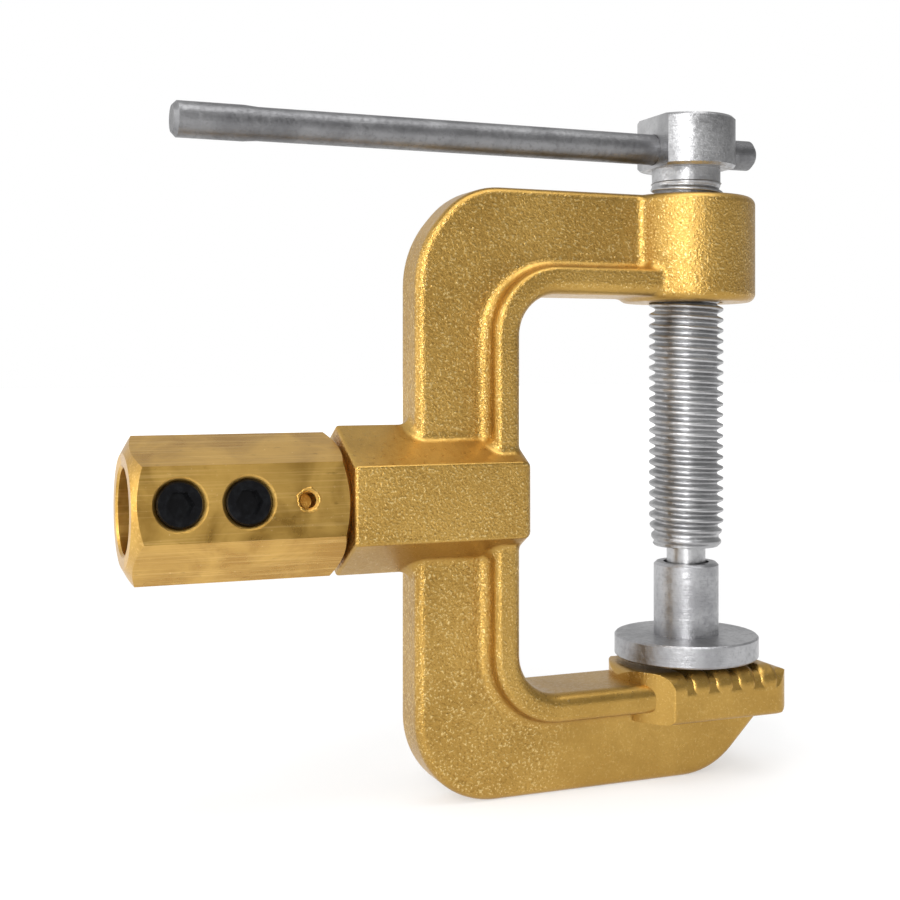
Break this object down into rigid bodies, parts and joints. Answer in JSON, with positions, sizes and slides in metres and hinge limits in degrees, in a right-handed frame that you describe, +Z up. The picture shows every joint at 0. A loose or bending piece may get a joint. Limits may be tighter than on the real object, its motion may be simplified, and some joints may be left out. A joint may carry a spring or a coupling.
{
  "type": "welding earth clamp",
  "caption": "Cast G-shaped earth clamp for a welding return cable, with a hexagonal cable socket, a clamping screw with a sliding tommy bar, and a swivel pad.",
  "frame": {"origin": "on the clamping screw's axis, at the height of the anvil's clamping face", "axes": "+Z up along the clamping screw, from the anvil to the tommy bar; +X along the arms, from the spine to the anvil, so the cable leaves along -X; Y across the web"},
  "size_m": [0.1222, 0.0272, 0.1238],
  "materials": {
    "cast_brass": "as cast, tumbled",
    "drawn_brass": "drawn, fine lines along the bar",
    "black_steel": "black oxide",
    "plated_steel": "zinc plated",
    "bar_steel": "zinc plated, dull",
    "pad_steel": "turned, dull plated",
    "spring_steel": "bright spring wire"
  },
  "bodies": {
    "frame": {"clamp_frame": "cast_brass", "cable_socket": "drawn_brass"},
    "lift": {"pad_snap_ring": "spring_steel"},
    "screw": {"clamp_screw": "plated_steel"},
    "bar": {"tommy_bar": "bar_steel"},
    "pad": {"swivel_pad": "pad_steel"},
    "outer_set_screw": {"set_screw_outer": "black_steel"},
    "inner_set_screw": {"set_screw_inner": "black_steel"}
  },
  "joints": [
    {"name": "screw_travel", "type": "slide", "parent": "frame", "child": "lift", "axis": [0, 0, 1], "range_m": [0, 0.0465]},
    {"name": "screw_turn", "type": "hinge", "parent": "lift", "child": "screw", "pos_m": [0, 0, 0.05], "axis": [0, 0, -1], "range_deg": [0, 8370]},
    {"name": "bar_slide", "type": "slide", "parent": "screw", "child": "bar", "axis": [1, 0, 0], "range_m": [-0.0042, 0.0766]},
    {"name": "pad_tilt", "type": "hinge", "parent": "lift", "child": "pad", "pos_m": [0, 0, 0.00825], "axis": [0, 1, 0], "range_deg": [-3, 3]},
    {"name": "outer_set_screw_travel", "type": "slide", "parent": "frame", "child": "outer_set_screw", "axis": [0, 0.9863, -0.165], "range_m": [0, 0.0025]},
    {"name": "inner_set_screw_travel", "type": "slide", "parent": "frame", "child": "inner_set_screw", "axis": [0, 0.9863, -0.165], "range_m": [0, 0.0025]}
  ],
  "couplings": [
    {"joint": "screw_travel", "follows": "screw_turn", "m_per_rad": 0.00031831}
  ]
}
